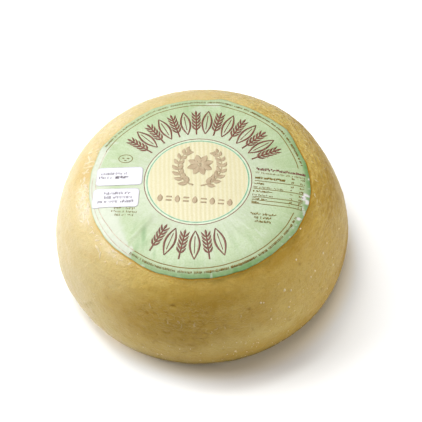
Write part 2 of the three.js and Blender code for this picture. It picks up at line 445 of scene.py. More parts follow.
def buildPaper():
    # a round sheet whose faces are ringed where the printed circles run
    sectors, margin = paper["sectors"], paper["marginRings"]
    degrees = np.arange(sectors) * 360 / sectors
    edge = edgeSeenFrom(printing["centre"], degrees)
    sway = ringSway(degrees)
    reach, colours = [], []
    inner = 0
    for outer, colour, step in printing["rings"]:
        count = max(int(round((outer - inner) / step)), 1)
        for r in inner + (outer - inner) * np.arange(1, count + 1) / count:
            reach.append(r + sway * smoothStep(50, 65, r) * smoothStep(69, 66.4, r))
        colours += [colour] * count
        inner = outer
    reach += [inner + (edge - inner) * t for t in np.arange(1, margin + 1) / margin]
    colours += ["green"] * margin
    reach = np.array(reach)
    middleX, middleY = printing["centre"]
    x = middleX + reach * np.cos(np.radians(degrees))
    y = middleY + reach * np.sin(np.radians(degrees))
    over = paperPoint(np.r_[middleX, x.ravel()], np.r_[middleY, y.ravel()], paper["thickness"])
    under = paperPoint(np.r_[middleX, x[::8].ravel(), x[-1]], np.r_[middleY, y[::8].ravel(), y[-1]], 0, False)
    low = len(over)
    lowRings = (len(under) - 1) // sectors
    faces = fan(0, 1, sectors) + gridQuads(1, len(reach), sectors, True)
    names = [colours[0]] * sectors
    names += [lineColour(colour, at) for colour in colours[1:] for at in degrees]
    top = BVHTree.FromPolygons(over.tolist(), faces)
    rim, lowRim = low - sectors, low + len(under) - sectors
    for s in range(sectors):
        n = (s + 1) % sectors
        faces.append((rim + s, lowRim + s, lowRim + n, rim + n))
    faces += fan(low, low + 1, sectors, True) + gridQuads(low + 1, lowRings, sectors, True, True)
    names += ["green"] * (len(faces) - len(names))
    points = np.vstack([over, under])
    piece = makeMesh("label_paper", points, faces)
    for name, values in zip(("rubbedAndSheen", "wetAndShaded"), sheetTint(points[:, 0], points[:, 1])):
        addPointValues(piece, name, values)
    return piece, names, top


rind = {
    "pits": 2200,
    "pitSize": (0.45, 1.2),
    "pitDepth": (0.05, 0.26),
    "scars": 130,             # small crescent dents with a raised lip
    "frontScars": 70,         # more of them, crowded on the front
    "scarRadius": (1.2, 3.2),
    "scarDepth": (0.14, 0.42),
    # the plain ones: bearing, height, radius, which way it opens (90 down), depth
    "craters": [(-93.7, 69.6, 2.1, -90, 0.52), (-88, 62, 1.6, 40, 0.45), (-82, 50, 2.2, -60, 0.4),
                (64, 80, 1.6, 0, 0.5), (43, 75, 2, 20, 0.5)],
    # brown pin holes: bearing, height, half width, depth, how brown
    "holes": [(-37, 74, 1, 0.4, 0.7), (-63.7, 64.2, 1.1, 0.4, 0.8), (-80.3, 67.1, 1, 0.35, 0.6),
              (-104, 62.5, 1, 0.35, 0.75), (-60, 80, 1.6, 0.3, 0.1), (-93.7, 71.6, 1, 0.2, 0.4)],
    # deeper and moister places, partly painted shade under the paper's edge, then paler bloomed ones, partly
    # painted light, then places drawn over with fine scratchy creases: bearing, height, reach in degrees,
    # rise, strength
    "deepAndShadedPlaces": [
        (-90, 59, 26, 15, 0.78), (32, 74, 22, 7, 0.55), (-4, 29, 19, 9, 0.95), (-24, 87, 12, 3, 0.2),
        (4, 74, 11, 9, 0.5), (-150, 12, 20, 7, 0.1), (60, 76, 18, 7, 0.2), (-44, 84, 16, 3.5, 0.45),
        (-80, 79, 20, 9, 0.5), (-62, 27, 24, 6, 0.35), (184, 87, 24, 5, 0.5), (-22, 89, 22, 4, 0.5),
        (-40, 84, 16, 3.5, 0.5), (4, 78, 12, 5, 0.2),
    ],
    "bloomedAndLitPlaces": [
        (-122, 76, 20, 13, 0.6), (-132, 48, 17, 24, 0.55), (-48, 52, 23, 17, 0.6), (-72, 38, 24, 9, 0.6),
        (-122, 20, 17, 10, 0.9), (-96, 84, 18, 4, 0.35), (14, 60, 12, 9, 0.35), (-142, 84, 14, 8, 0.45),
        (-144, 24, 12, 12, 0.7), (22, 70, 8, 8, 0.5), (2, 38, 8, 8, 0.4), (-76, 80, 22, 5, 0.5),
        (-170, 62, 22, 34, 0.7), (44, 87, 40, 5, 0.95), (80, 88, 24, 3.4, 0.5),
    ],
    "creasedPlaces": [
        (-92, 61, 22, 11, 0.9), (-58, 60, 26, 20, 0.45), (16, 62, 30, 34, 0.95), (60, 80, 30, 16, 0.8),
        (140, 82, 34, 12, 0.55), (-168, 76, 16, 12, 0.45), (-20, 80, 18, 8, 0.4),
    ],
}

creases = {
    "step": 0.5,              # length of one stretch of a thread
    # raised threads of skin: how many, bearing and spread, distance below the paper and spread,
    # shortest and longest, width, height, how pale (a painted highlight)
    "groups": {
        "folds_left": (6, 169, 4, 4, 2.2, 1.5, 4, 1.3, 0.11, 0.35),
        "beside_paper": (40, 199, 7, 4.2, 2.5, 1.5, 4, 1.15, 0.13, 0.6),
        "below_left": (14, 232, 8, 3.5, 2, 1, 3, 1.1, 0.12, 0.45),
        "back": (20, 146, 14, 9, 6, 1.5, 4, 1, 0.14, 0.35),
        "front": (40, 264, 12, 38, 9, 1.2, 3.6, 0.8, 0.24, 0),
        "front_right": (30, 318, 20, 34, 16, 1, 3, 0.8, 0.18, 0),
        "right": (34, 18, 24, 16, 8, 1.5, 4, 0.9, 0.18, 0.15),
    },
    # single curls and folds: bearing, height, length, heading (0 level, 90 down), turn a step, width,
    # rise, how pale (a painted highlight)
    "curls": [
        (177.5, 85.4, 10, -64, 0.01, 1.8, 0.32, 0.4), (174.5, 85.2, 7, -52, 0.02, 1.8, 0.3, 0.5),
        (169.5, 85.4, 6, -40, 0.03, 1.8, 0.28, 0.5), (166.5, 86.2, 3, 10, 0.2, 2.1, 0.32, 0.65),
        (180.5, 85.2, 6, -66, -0.02, 1.5, 0.26, 0.4), (164, 85.6, 4, -40, 0.1, 1.5, 0.26, 0.4),
        (-137, 82.4, 5, 20, 0.06, 1.7, 0.26, 0.4), (-133, 82, 4, 30, 0.06, 1.5, 0.24, 0.4),
        (-103.6, 69.8, 3.2, 80, 0.1, 0.95, 0.3, 0.22), (-95.9, 60.1, 2, 30, 0.4, 0.95, 0.3, 0.2),
        (-92, 61.1, 2.2, 20, 0.35, 0.95, 0.3, 0.24), (-90.5, 58.6, 3.2, 50, 0.2, 0.95, 0.3, 0.16),
        (-85.1, 60.3, 1.8, 100, 0.3, 0.95, 0.3, 0.18), (-84.8, 57.4, 2.2, 170, 0.4, 0.95, 0.3, 0.24),
        (-79.3, 53.4, 3, 55, 0.25, 0.95, 0.3, 0.2), (-78, 54.4, 2.6, 60, -0.25, 0.95, 0.3, 0.2),
        (-74.6, 55.4, 2.4, -10, 0.3, 0.95, 0.3, 0.16), (-67.2, 61.6, 1.8, 80, 0.3, 0.95, 0.3, 0.2),
        (-73.8, 36.2, 2.4, 20, 0.3, 0.95, 0.3, 0.2), (-71, 30, 2, 10, 0.4, 0.95, 0.3, 0.2),
        (-84.5, 24.1, 2, 10, 0.4, 1.2, 0.3, 0.24), (4.7, 86.4, 2.8, 150, 0.1, 0.9, 0.25, 0.4),
        (-3.6, 85.9, 2.6, 165, 0.1, 0.9, 0.25, 0.4), (-6.2, 84.6, 2, 150, 0.1, 0.8, 0.25, 0.3),
        (16.2, 86.6, 2.2, 170, 0.05, 0.8, 0.25, 0.3), (16.7, 71.3, 2.6, 170, 0.1, 0.8, 0.25, 0.4),
        (13.5, 71.1, 2.4, 10, 0.1, 0.8, 0.25, 0.4), (31.6, 85.2, 2, 160, 0.2, 0.8, 0.25, 0.3),
    ],
}

crumbs = {
    "scattered": 130,
    "size": (0.2, 0.52),
    "sides": 7,
    "newGroup": 0.5,          # chance that the next crumb starts another loose group
    "firstGroup": (-0.9, 60),     # radians about the wheel, distance down the skin
    "groupBearing": (-0.95, 0.75),    # where groups lie, middle and spread, more on the front and right
    "groupSpread": (0.07, 6),
    # the few big ones: bearing, height, size
    "big": [
        (-47.6, 65.8, 0.95), (-45, 63, 0.75), (-37.5, 77.5, 0.75), (-23.8, 65.3, 0.85), (-20.5, 48, 0.8),
        (-31.3, 61.3, 0.7), (-34.3, 60.4, 0.75), (-19.2, 66.8, 0.6), (-47.6, 51.7, 0.8), (-58.5, 65.6, 0.7),
        (-57.4, 64.8, 0.55), (-70.9, 30, 0.85), (-83.6, 32.4, 0.5), (-128, 80, 0.6), (-51.7, 18, 0.75),
        (-26, 85.6, 0.6), (-55.8, 50, 0.6), (-27, 36, 0.7), (-8, 60, 0.6),
    ],
}


def alongAt(height):
    # how far down the skin a height on the side lies
    rows = profileRows[:, 0] > 60
    return float(np.interp(-height, -profileRows[rows, 1], profileAlong[rows]))


def seamAlong(degrees):
    # how far down the skin the paper's edge lies, for each bearing about the wheel's axis
    topRows = profileRows[:, 1] > wheel["bellyHeight"]
    return np.interp(edgeSeenFrom((0, 0), degrees), profileRows[topRows, 0], profileAlong[topRows])


def placeOn(bearing, along):
    # a point of the smooth profile and its outward, sideways and downward directions
    r, z, outR, outZ = profileAt(along)
    out = np.array([outR * math.cos(bearing), outR * math.sin(bearing), outZ])
    around = np.array([-math.sin(bearing), math.cos(bearing), 0])
    return np.array([r * math.cos(bearing), r * math.sin(bearing), z]), out, around, np.cross(around, out)


def toneAt(points, bearing, places, seed):
    # soft clouds of tone round each place, with ragged borders
    ragged = 0.25 * softNoise(points, 11, seed) + 0.2 * softNoise(points, 4.5, seed + 1)
    tone = np.zeros(len(points))
    for at, height, reach, rise, much in places:
        away = np.hypot(turnDistance(bearing, at) / reach, (points[:, 2] - height) / rise)
        tone += much * smoothStep(1.75, 0.25, away + ragged)
    return np.clip(tone, 0, 1)


def filmAt(bearing, fromSeam):
    # the moist film beside the paper's left edge, drawn into a net of fine creases whose highlights are
    # painted
    upper = 0.3 * hump(turnDistance(bearing, 170), 8, 4)
    left = np.maximum(upper, hump(turnDistance(bearing, 200), 12, 4)) * hump(fromSeam - 5, 5.5)
    low = 0.45 * hump(turnDistance(bearing, 232), 9) * hump(fromSeam - 3, 4)
    back = 0.35 * hump(turnDistance(bearing, 150), 16) * hump(fromSeam - 8, 7)
    return np.clip(left + low + back, 0, 1)


def netAt(points):
    # a net of rounded ridges, 1 on a ridge
    long = points * (1, 0.6, 1)
    net = 1 - np.abs(softNoise(long, 3.6, 25) + 0.25 * softNoise(long, 2.4, 26)) * 3.2
    return np.clip(net, 0, 1) ** 1.2


def rindRelief(points, fromSeam, film, veins, grainy):
    relief = 0.12 * softNoise(points, 10, 21) + 0.11 * softNoise(points, 4.5, 22)
    rough = 0.5 + 0.5 * smoothStep(-0.3, 0.5, softNoise(points, 26, 27))
    rough = rough * (1 - 0.8 * film)
    relief += 0.13 * rough * (0.85 + 0.7 * grainy) * softNoise(points, 2.4, 23)
    # fine level creases round the side and shoulder
    level = np.column_stack([points[:, 0] * 0.28, points[:, 1] * 0.28, points[:, 2]])
    relief += 0.07 * (0.8 + 0.3 * grainy) * softNoise(level, 1.9, 28)
    relief += 0.07 * grainy * softNoise(level, 3.6, 24)
    relief += 0.10 * veins
    # a soft swelling just below the paper and a fine groove at its edge
    relief += 0.10 * hump(fromSeam - 2.2, 1.6) - 0.05 * hump(fromSeam - 0.3, 0.7)
    return relief


def digPits(points, rows, sectors):
    # small pits where curd grains met the mould, each a soft round dip
    dice = np.random.default_rng(11)
    depth = np.zeros(len(points))
    grid = points.reshape(rows, sectors, 3)
    for i in range(rind["pits"]):
        row = dice.integers(16, rows - 14)
        column = dice.integers(0, sectors)
        size = dice.uniform(*rind["pitSize"])
        deep = dice.uniform(*rind["pitDepth"])
        stretch = dice.uniform(0.7, 1.5)
        columns = np.arange(column - 5, column + 6) % sectors
        for k in range(max(row - 4, 0), min(row + 5, rows)):
            away = grid[k, columns] - grid[row, column]
            flat = np.hypot(np.hypot(away[:, 0], away[:, 1]) * stretch, away[:, 2])
            places = k * sectors + columns
            depth[places] = np.minimum(depth[places], -deep * np.exp(-(flat / size) ** 2 * 1.6))
    return depth


def pressScars(points):
    # crescent dents left by the cloth, a dip with a lip on its outer side, and how brown each is
    dice = np.random.default_rng(29)
    scars = []
    for i in range(rind["scars"] + rind["frontScars"]):
        bearing = dice.uniform(0, 2 * math.pi)
        along = dice.uniform(profileAlong[-1] * 0.42, footAlong - 8)
        if i >= rind["scars"]:
            bearing = math.radians(dice.normal(-92, 10))
            along = footAlong - dice.normal(60, 9)
        bend = dice.uniform(*rind["scarRadius"])
        scars.append((bearing, along, bend, dice.uniform(0, 2 * math.pi), dice.uniform(*rind["scarDepth"])))
    for at, height, bend, turn, deep in rind["craters"]:
        scars.append((math.radians(at), alongAt(height), bend, math.radians(turn), deep))
    relief = np.zeros(len(points))
    brown = np.zeros(len(points))
    for bearing, along, bend, turn, deep in scars:
        spot, out, around, down = placeOn(bearing, along)
        close = np.where(np.abs(points - spot).max(axis=1) < 6)[0]
        u = (points[close] - spot) @ around
        v = (points[close] - spot) @ down
        away = np.hypot(u, v)
        off = np.abs((np.arctan2(v, u) - turn + math.pi) % (2 * math.pi) - math.pi)
        window = smoothStep(1.3, 0.5, off)
        groove = window * hump(away - bend, 0.65)
        relief[close] += deep * (0.55 * window * hump(away - bend - 0.9, 0.7) - groove)
        brown[close] = np.maximum(brown[close], 0.9 * deep * groove)
    for at, height, wide, deep, much in rind["holes"]:
        hole = hump(np.linalg.norm(points - placeOn(math.radians(at), alongAt(height))[0], axis=1), wide)
        brown = np.maximum(brown, much * hole)
        relief -= deep * hole
    return relief, brown


def rindTones(points, bearing, fromSeam):
    # how deep, bloomed, moist or shaded the skin is at each point; the foot shade and the band under the
    # paper are painted shade, and the deep and bloomed tones are partly painted shade and light
    # painted shade on the lowest few centimetres at the front and right, which also deepens the deep tone
    foot = smoothStep(31, 13, points[:, 2]) * nearing(bearing, -42, 85, 50)
    moist = nearing(bearing, -50, 118, 70) * (0.85 + 0.3 * softNoise(points, 12, 30))
    # painted shade in a band under the paper's edge at the front and right, partly a moister, browner band
    reach = 2.6 + 1.6 * softNoise(points, 9, 45)
    band = smoothStep(reach + 2.2, 0.3, fromSeam) * nearing(bearing, -57, 58, 26)
    band = band * (0.75 + 0.45 * hump(turnDistance(bearing, -69), 13))
    return {
        "moist": np.clip(moist, 0, 1),
        "deep": np.clip(toneAt(points, bearing, rind["deepAndShadedPlaces"], 41) + 0.6 * foot, 0, 1),
        "footShade": smoothStep(30, 10, points[:, 2]) ** 1.7 * nearing(bearing, -42, 88, 58),
        "bloomAndLit": toneAt(points, bearing, rind["bloomedAndLitPlaces"], 43),
        "creased": toneAt(points, bearing, rind["creasedPlaces"], 47),
        "seamShade": np.clip(band, 0, 1),
    }


def buildRind():
    # rows of points round the wheel, from under the paper down to the base
    sectors = wheel["sectors"]
    degrees = np.arange(sectors) * 360 / sectors
    seam = seamAlong(degrees)
    under = (0.15, 0.35, 0.55, 0.75, 0.88, 0.95, 0.975, 0.99)
    near = (0, 0.4, 0.8, 1.2, 1.7, 2.3, 3.0)
    base = (0.04, 0.12, 0.3, 0.5, 0.7, 0.88)
    downTo = footAlong - seam.mean()
    rest = np.linspace(3.9, downTo, int((downTo - 3.9) / wheel["rowStep"]))
    alongRows = [seam * k for k in under]
    alongRows += [seam + (footAlong - seam) * k for k in np.r_[near, rest] / downTo]
    alongRows += [np.full(sectors, footAlong + (profileAlong[-1] - footAlong) * k) for k in base]
    along = np.array(alongRows)
    rows = len(along)
    r, z, outR, outZ = profileAt(along)
    cosT, sinT = np.cos(np.radians(degrees)), np.sin(np.radians(degrees))
    points = np.column_stack([(r * cosT).ravel(), (r * sinT).ravel(), z.ravel()])
    facing = np.column_stack([(outR * cosT).ravel(), (outR * sinT).ravel(), outZ.ravel()])
    facing /= np.linalg.norm(facing, axis=1)[:, None]
    fromSeam = (along - seam).ravel()
    bearing = np.tile(degrees, rows)

    film = filmAt(bearing, fromSeam)
    veins = film * netAt(points)
    grainy = 0.2 + 0.8 * nearing(bearing, 22, 85, 35)
    grainy = np.maximum(grainy, 0.7 * nearing(bearing, 150, 60, 25))
    pressed, brown = pressScars(points)
    relief = rindRelief(points, fromSeam, film, veins, grainy)
    relief += digPits(points, rows, sectors) * (1 - 0.85 * film) + pressed
    relief *= smoothStep(0.4, 5, points[:, 2]) * smoothStep(-0.5, 1.6, fromSeam)
    points = points + facing * (swellAt(points) + relief)[:, None]
    points[:, 2] = np.maximum(points[:, 2], 0.0)

    top = np.array([[0, 0, arcs["crownZ"] + arcs["crownRadius"]]])
    top = top + np.array([[0, 0, 1]]) * swellAt(top)[:, None]
    middle = rows * sectors
    faces = fan(middle, 0, sectors) + gridQuads(0, rows, sectors, True)
    faces += fan(middle + 1, middle - sectors, sectors, True)
    piece = makeMesh("rind_skin", np.vstack([points, top, [[0, 0, 0]]]), faces)
    tones = rindTones(points, bearing, fromSeam)
    tones.update(veins=0.35 * veins, grainy=grainy, brown=brown, film=film)
    for name, values in tones.items():
        addPointValues(piece, name, np.r_[values, 0, 0])
    addPointValues(piece, "seamDistance", np.r_[fromSeam, -70, 200])
    return piece


def onRind(bearing, along):
    # the rind's surface at a bearing and a distance down the skin, its outward direction and nearest point
    spot, out = placeOn(bearing, along)[:2]
    found = rindTop.ray_cast(Vector(spot + out * 4), Vector(-out), 8)
    hit, face = found[0], found[2]
    if hit is None or spot[2] < 3:
        return None
    return np.array(hit), out, rindSkin.data.polygons[face].vertices[0]


def threadStarts(dice):
    # bearing, distance down the skin, length, heading, bend, width, height and paleness of each thread
    threads = []
    for count, at, spread, below, scatter, short, long, width, height, paleness in creases["groups"].values():
        for i in range(count):
            degrees = dice.normal(at, spread)
            along = float(seamAlong(degrees)) + max(dice.normal(below, scatter), 1.2)
            path = (dice.uniform(short, long), dice.uniform(0, 2 * math.pi), dice.normal(0, 0.3))
            size = (width * dice.uniform(0.7, 1.25), height * dice.uniform(0.5, 1.3))
            threads.append((math.radians(degrees), along, *path, *size, paleness))
    for at, height, long, heading, *rest in creases["curls"]:
        threads.append((math.radians(at), alongAt(height), long, math.radians(heading), *rest))
    return threads


def buildCreases():
    # thin rounded threads of raised skin, each wandering over the rind, closed underneath
    dice = np.random.default_rng(23)
    section = [(-0.5, -0.18), (-0.3, 0.36), (-0.12, 0.9), (0.12, 0.9), (0.3, 0.36), (0.5, -0.18), (0, -1.2)]
    rim, step = len(section), creases["step"]
    points, faces, nearest, pale = [], [], [], []
    for bearing, along, long, heading, bend, wide, high, paleness in threadStarts(dice):
        line = []
        for k in range(int(long / step) + 3):
            place = onRind(bearing, along)
            if place is None:
                break
            line.append(place)
            bearing += step * math.cos(heading) / max(math.hypot(place[0][0], place[0][1]), 1)
            along += step * math.sin(heading)
            heading += bend + dice.normal(0, 0.4) * min(1, 3 / long)
        if len(line) < 4:
            continue
        forward = np.gradient(np.array([place[0] for place in line]), axis=0)
        start = len(points)
        for k, (spot, out, vertex) in enumerate(line):
            taper = max(math.sin(math.pi * (k + 0.35) / (len(line) - 0.3)), 0.05) ** 0.6
            side = np.cross(out, forward[k])
            side /= max(np.linalg.norm(side), 1e-9)
            across, rise = side * wide * taper, out * high * taper
            points += [spot + across * x + rise * y for x, y in section]
            nearest += [vertex] * rim
            pale += [paleness] * rim
        last = start + (len(line) - 1) * rim
        faces += gridQuads(start, len(line), rim, True)
        faces += [tuple(range(start, start + rim)), tuple(range(last + rim - 1, last - 1, -1))]
    piece = makeMesh("rind_creases", points, faces)
    # threads take the tones of the skin under them
    for attribute in list(rindSkin.data.attributes):
        if attribute.data_type != "FLOAT":
            continue
        values = np.zeros(len(rindSkin.data.vertices), np.float32)
        attribute.data.foreach_get("value", values)
        mine = pale if attribute.name == "veins" else values[nearest]
        if attribute.name in ("film", "creased"):
            mine = mine * 0.3
        addPointValues(piece, attribute.name, mine)
    return piece


def buildCrumbs():
    # small pale crumbs of dried whey stuck to the rind, as one piece
    dice = np.random.default_rng(17)
    sides = crumbs["sides"]
    spots = []
    heart = crumbs["firstGroup"]
    around, down = crumbs["groupSpread"]
    for i in range(crumbs["scattered"]):
        if dice.random() < crumbs["newGroup"]:
            heart = (dice.normal(*crumbs["groupBearing"]), dice.uniform(footAlong * 0.66, footAlong * 0.93))
        size = dice.uniform(*crumbs["size"])
        spots.append((heart[0] + dice.normal(0, around), heart[1] + dice.normal(0, down), size))
    spots += [(math.radians(at), alongAt(height), size) for at, height, size in crumbs["big"]]
    points, faces = [], []
    for bearing, along, size in spots:
        place = onRind(bearing, along)
        if place is None:
            continue
        hit, out, vertex = place
        around, down = placeOn(bearing, along)[2:]
        turn = dice.uniform(0, 2 * math.pi)
        long = dice.uniform(1.0, 1.5)
        start = len(points)
        for share, up in ((1.0, -0.1), (0.72, 0.35)):
            for k in range(sides):
                angle = k * 2 * math.pi / sides
                reach = size * share * dice.uniform(0.75, 1.15)
                u, v = reach * long * math.cos(angle), reach * math.sin(angle)
                u, v = u * math.cos(turn) - v * math.sin(turn), u * math.sin(turn) + v * math.cos(turn)
                points.append(hit + u * around + v * down + up * size * out)
        points += [hit + out * size * 0.5, hit - out * size * 0.4]
        faces += gridQuads(start, 2, sides, True, True)
        faces += fan(start + 2 * sides, start + sides, sides) + fan(start + 2 * sides + 1, start, sides, True)
    return makeMesh("whey_crumbs", points, faces)


print("building the rind")
rindSkin = buildRind()
rindTop = BVHTree.FromPolygons([tuple(v.co / mm) for v in rindSkin.data.vertices],
                               [tuple(p.vertices) for p in rindSkin.data.polygons])
rindCreases = buildCreases()
wheyCrumbs = buildCrumbs()
print("rind:", len(rindSkin.data.polygons), "faces")
labelPaper, faceColours, paperTop = buildPaper()
print("paper:", len(labelPaper.data.polygons), "faces")


def restOnPaper(x, y, lift):
    # drops points square onto the wrinkled sheet and holds them lift above it
    points, facing = topAt(x, y)
    swollen = points + facing * swellAt(points)[:, None]
    landed = []
    for spot, out in zip(swollen, facing):
        hit = paperTop.ray_cast(Vector(spot + out * 4), Vector(-out), 8)[0]
        landed.append((np.array(hit) if hit else spot) + out * lift)
    return np.array(landed)


class Ink:
    # gathers flat shapes of one colour in print coordinates, then lays them on the paper as one piece
    def __init__(self, name, lift):
        self.name, self.lift = name, lift
        self.points, self.faces = [], []

    def addStroke(self, line, width, across=1):
        # a stroke along a line of points; width is one number or one for each point
        line = np.asarray(line, float)
        width = np.broadcast_to(width, (len(line),))
        heading = np.gradient(line, axis=0)
        heading /= np.maximum(np.linalg.norm(heading, axis=1), 1e-9)[:, None]
        side = np.column_stack([-heading[:, 1], heading[:, 0]])
        offsets = np.linspace(0.5, -0.5, across + 1)
        grid = line[:, None, :] + side[:, None, :] * (offsets[None, :, None] * width[:, None, None])
        self.faces += gridQuads(len(self.points), len(line), across + 1)
        self.points.extend(map(tuple, grid.reshape(-1, 2)))

    def addBar(self, x0, x1, y, height):
        count = max(int(abs(x1 - x0) / printing["fineStep"]), 1) + 1
        self.addStroke(np.column_stack([np.linspace(x0, x1, count), np.full(count, y)]), height)

    def addOval(self, centre, wide, tall, width, count):
        t = np.linspace(0, 2 * math.pi, count)
        self.addStroke(np.column_stack([centre[0] + wide * np.cos(t), centre[1] + tall * np.sin(t)]), width)

    def addLeaf(self, foot, tip, width, bow=0.0, across=2):
        # a pointed leaf from foot to tip, bowed to one side
        foot, tip = np.array(foot, float), np.array(tip, float)
        length = np.linalg.norm(tip - foot)
        t = np.linspace(0, 1, max(int(length / printing["fineStep"]), 4) + 1)
        side = np.array([-(tip - foot)[1], (tip - foot)[0]]) / length
        line = foot + np.outer(t, tip - foot) + np.outer(np.sin(math.pi * t) * bow, side)
        self.addStroke(line, np.maximum(width * np.sin(math.pi * t ** 0.85) ** 0.8, 0.06), across)

    def turned(self, draw, degrees, shift=(0, 0)):
        # runs a drawing function and turns what it drew about the middle, then shifts it
        start = len(self.points)
        draw(self)
        c, s = ahead(degrees)
        for i in range(start, len(self.points)):
            x, y = self.points[i]
            self.points[i] = (x * c - y * s + shift[0], x * s + y * c + shift[1])

    def lay(self, material, slot="label_paper"):
        flat = np.array(self.points) + printing["centre"]
        piece = makeMesh(self.name, restOnPaper(flat[:, 0], flat[:, 1], self.lift), self.faces)
        thicken(piece, printing["inkThickness"], -1)
        dress(piece, material, slot)


def thicken(piece, thickness, offset):
    solid = piece.modifiers.new("thickness", "SOLIDIFY")
    solid.thickness = thickness * mm
    solid.offset = offset


def dress(piece, material, slot, *nodes):
    piece.data.materials.append(material)
    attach(piece, "root")
    if nodes:
        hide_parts(*nodes)


def drawSpindle(ink, low, high, halfWidth, stroke):
    # an upright pointed oval in outline with a midrib, standing on the y axis
    t = np.linspace(0, 1, int((high - low) / printing["fineStep"]) + 2)
    y = low + (high - low) * t
    bulge = halfWidth * np.sin(math.pi * t)
    for side in (-1, 1):
        ink.addStroke(np.column_stack([side * bulge, y]), stroke * (0.55 + 0.6 * np.sin(math.pi * t)))
    rib = y[(t > 0.18) & (t < 0.82)]
    ink.addStroke(np.column_stack([0 * rib, rib]), stroke * 0.5)


def drawEar(ink, low, high, stroke):
    # a stem with pairs of slim leaves, like an ear of meadow grass
    y = np.linspace(low, high - 3.5, int((high - low) / printing["fineStep"]) + 2)
    ink.addStroke(np.column_stack([0 * y, y]), stroke)
    for k in range(5):
        foot = low + 4.2 + k * (high - low - 9) / 4.4
        for side in (-1, 1):
            ink.addLeaf((side * 0.2, foot), (side * 3.0, foot + 4.6), 1.35, bow=-side * 0.35)
    ink.addLeaf((0, high - 4.2), (0, high), 1.6)


def drawFrieze(ink, spread, upright):
    # ears and spindles side by side round the ring; upright ones have their feet toward the middle
    low, high = printing["frieze"]
    for i, bearing in enumerate(np.linspace(*spread)):
        def motif(pen):
            start = len(pen.points)
            if i % 2 == 0:
                drawEar(pen, low, high, 1.05)
            else:
                drawSpindle(pen, low + 0.6, high - 0.6, 3.1, 1.15)
            if not upright:
                pen.points[start:] = [(-x, low + high - y) for x, y in pen.points[start:]]
        ink.turned(motif, bearing - 90)


def drawTicks(ink, x0, x1, y, height, weight, pitch=0.95, gaps=0.1):
    # a row of small upright ticks and dots where fine print would stand, y at its foot
    x = x0 + weight / 2
    while x < x1:
        tall = height * dice.uniform(0.55, 1.0)
        low = y if dice.random() < 0.7 else y + height - tall
        if dice.random() < 0.12:
            low, tall = y + height * 0.35, height * 0.35
        ink.addStroke([(x, low), (x, low + tall)], weight * dice.uniform(0.8, 1.25))
        x += pitch * dice.uniform(0.8, 1.2) + (pitch if dice.random() < gaps else 0)


def drawTickRing(ink, radius, start, stop):
    # the same ticks standing in a ring, worn thin in places
    bearings, weights = np.array(printing["ringWear"]).T
    half = printing["tickRingHeight"] / 2
    at = start
    while at < stop:
        middle = radius + float(ringSway(at))
        low = middle - half * dice.uniform(0.6, 1.0)
        high = middle + half * dice.uniform(0.5, 1.0)
        out = np.array(ahead(at))
        weight = dice.uniform(0.42, 0.75) * float(np.interp(at % 360, bearings, weights))
        ink.addStroke([low * out, high * out], weight)
        at += dice.uniform(0.55, 0.85) + (0.9 if dice.random() < 0.09 else 0)


# the ruled block on the right
block = {
    "left": 36.6,
    "right": 68.8,
    "turn": -1.2,
    "shift": (0, 0.9),
    "rules": (3.1, -3.2, -9.6, -12.2, -15),
    "ruleWidth": 0.5,
    # rows of ticks: foot, how far they run, weight
    "rows": ((0.2, 43.2, 0.7), (-2.6, 56, 0.46), (-5.9, 49.4, 0.75), (-8.9, 50, 0.44), (-11.8, 46, 0.72),
             (-14.6, 41.2, 0.72)),
    # feet of the ticks in the two narrow columns
    "columns": (7.2, 4, 0.4, -2.6, -5.9, -8.9, -11.8, -14.6),
}


def drawTitle(ink):
    drawTicks(ink, block["left"], 69, 11.8, 2.3, 0.95, 1.15, 0.04)


def drawTable(ink):
    # two heading rows, then rules, rows and columns of ticks
    left, right = block["left"], block["right"]
    drawTicks(ink, left, 68.6, 9.2, 1.3, 0.45, 0.9)
    drawTicks(ink, left, 56.4, 4.8, 1.9, 0.8, 1.0, 0.05)
    for y in block["rules"]:
        ink.addBar(left, right, y, block["ruleWidth"])
    for y, reach, weight in block["rows"]:
        drawTicks(ink, left, reach, y, 1.4, weight)
    for y in block["columns"]:
        drawTicks(ink, 60.4, 62.2, y, 1.5, 0.7)
        drawTicks(ink, 66.2, right, y, 1.5, 0.6)


def drawMark(ink, centre, wide, tall):
    # a small oval with three dots
    ink.addOval(centre, wide, tall, 0.45, 41)
    for dx, dy in ((-1.6, 0.3), (1.6, 0.3), (0, -1.5)):
        ink.addBar(centre[0] + dx - 0.7, centre[0] + dx + 0.7, centre[1] + dy, 0.7)


sprigs = {
    "height": 11.4,           # of the sprigs' middle over the print's
    "wide": 14.2,
    "tall": 16.0,
    "start": -80,             # degrees along the bow
    "sweep": 138,
    "stemWidth": 1.1,
    "pairs": 8,               # of leaves on each sprig
    "leafWidth": 3.2,
    # each pair of leaves: how far it turns from the stem, in radians, and its length
    "pair": ((0.7, 6.6), (-0.7, 6)),
    "rosetteHeight": 12.6,
    "petals": 8,
    "petal": (1.2, 9),        # from and to radius
    "petalWidth": 4.6,
}

lozenges = {
    "count": 9,
    "first": -22.6,
    "pitch": 5.65,
    "foot": -18.9,
    "tip": -13.2,
    "width": 3.6,
    "barHalf": 1.9,
    "barHeights": (-14.7, -17.4),
    "barWidth": 1.1,
}


